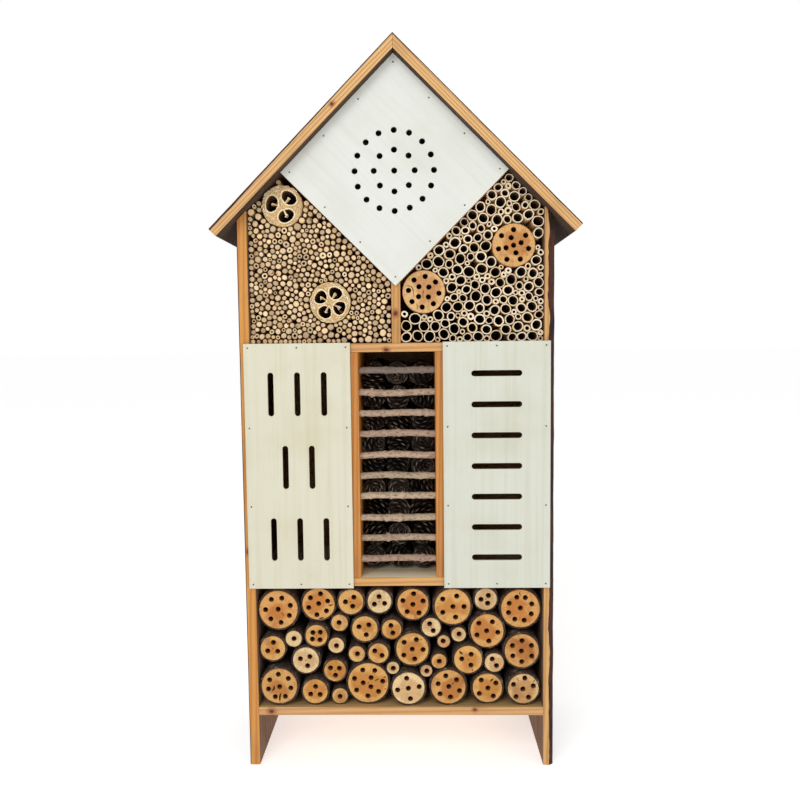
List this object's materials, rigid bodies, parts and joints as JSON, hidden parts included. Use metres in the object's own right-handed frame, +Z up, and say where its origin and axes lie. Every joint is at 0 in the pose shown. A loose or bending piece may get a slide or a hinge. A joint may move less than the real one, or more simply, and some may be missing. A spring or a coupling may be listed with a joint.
{
  "type": "insect hotel",
  "caption": "Tall gabled timber insect hotel on board feet, with a drilled diamond panel, slotted side panels, stem bundles, a window of twigs and pine cones, and drilled logs.",
  "frame": {"origin": "on the ground, at the middle of the footprint of the whole house, roof overhang included", "axes": "+Z up, from the feet to the ridge; the open front faces -Y; +X is to the right as seen from the front"},
  "size_m": [0.496, 0.21, 1],
  "materials": {
    "pine_board": "oiled satin",
    "roof_wood": "rough sawn, brown stain",
    "slot_panel_ply": "matt",
    "gable_panel_ply": "matt",
    "back_ply": "matt",
    "reed": "matt",
    "bamboo": "satin",
    "loofah": "open fibre",
    "disc_wood": "sawn matt",
    "twig_bark": "rough",
    "pine_cone": "matt",
    "log_wood": "sawn matt",
    "bark": "rough",
    "nail_steel": "dull"
  },
  "bodies": {
    "root": {"back_panel": "back_ply", "bamboo_bundle": "bamboo", "bottom_shelf": "pine_board", "drilled_disc_lower": "disc_wood", "drilled_disc_upper": "disc_wood", "gable_panel": "gable_panel_ply", "gable_post": "pine_board", "left_divider": "pine_board", "left_gable_rail": "pine_board", "left_roof_board": "roof_wood", "left_side_board": "pine_board", "left_slot_panel": "slot_panel_ply", "log_01": "log_wood", "log_02": "log_wood", "log_03": "log_wood", "log_04": "log_wood", "log_05": "log_wood", "log_06": "log_wood", "log_07": "log_wood", "log_08": "log_wood", "log_09": "log_wood", "log_10": "log_wood", "log_11": "log_wood", "log_12": "log_wood", "log_13": "log_wood", "log_14": "log_wood", "log_15": "log_wood", "log_16": "log_wood", "log_17": "log_wood", "log_18": "log_wood", "log_19": "log_wood", "log_20": "log_wood", "log_21": "log_wood", "log_22": "log_wood", "log_23": "log_wood", "log_24": "log_wood", "log_25": "log_wood", "log_26": "log_wood", "log_27": "log_wood", "loofah_slice_lower": "loofah", "loofah_slice_upper": "loofah", "lower_shelf": "pine_board", "pine_cone_stack": "pine_cone", "reed_bundle": "reed", "right_divider": "pine_board", "right_gable_rail": "pine_board", "right_roof_board": "roof_wood", "right_side_board": "pine_board", "right_slot_panel": "slot_panel_ply", "twig_01": "twig_bark", "twig_02": "twig_bark", "twig_03": "twig_bark", "twig_04": "twig_bark", "twig_05": "twig_bark", "twig_06": "twig_bark", "twig_07": "twig_bark", "twig_08": "twig_bark", "twig_09": "twig_bark", "twig_10": "twig_bark", "upper_shelf": "pine_board"}
  },
  "joints": []
}
